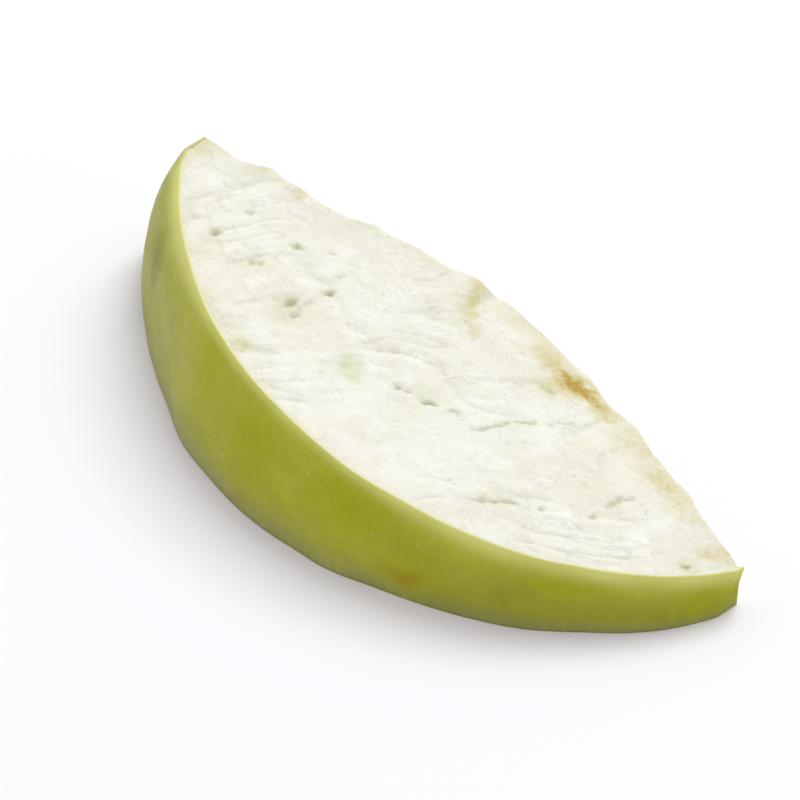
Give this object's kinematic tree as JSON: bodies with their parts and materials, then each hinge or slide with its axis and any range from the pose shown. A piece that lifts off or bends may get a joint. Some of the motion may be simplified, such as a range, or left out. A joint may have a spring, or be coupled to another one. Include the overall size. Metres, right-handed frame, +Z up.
{
  "type": "freeze-dried apple slice",
  "caption": "Dried fruit wedge: pale, wrinkled cut flesh with green peel along its outer side and a browned core edge, lying flat on its lower cut face as a snack or garnish.",
  "frame": {"origin": "on the surface that the slice rests on, below the middle of its bounding box", "axes": "+X runs along the slice from its thick tip to its thin tip, -Y faces out of the peel, +Y faces out of the core side, +Z is up out of the upper cut face"},
  "size_m": [0.068, 0.0296, 0.0135],
  "materials": {
    "flesh": "chalky, dry and finely pitted, browned in spots along the core edge",
    "peel": "smooth and satin, mottled yellow-green with small lighter dots"
  },
  "bodies": {
    "root": {"apple_slice": "flesh"}
  },
  "joints": []
}
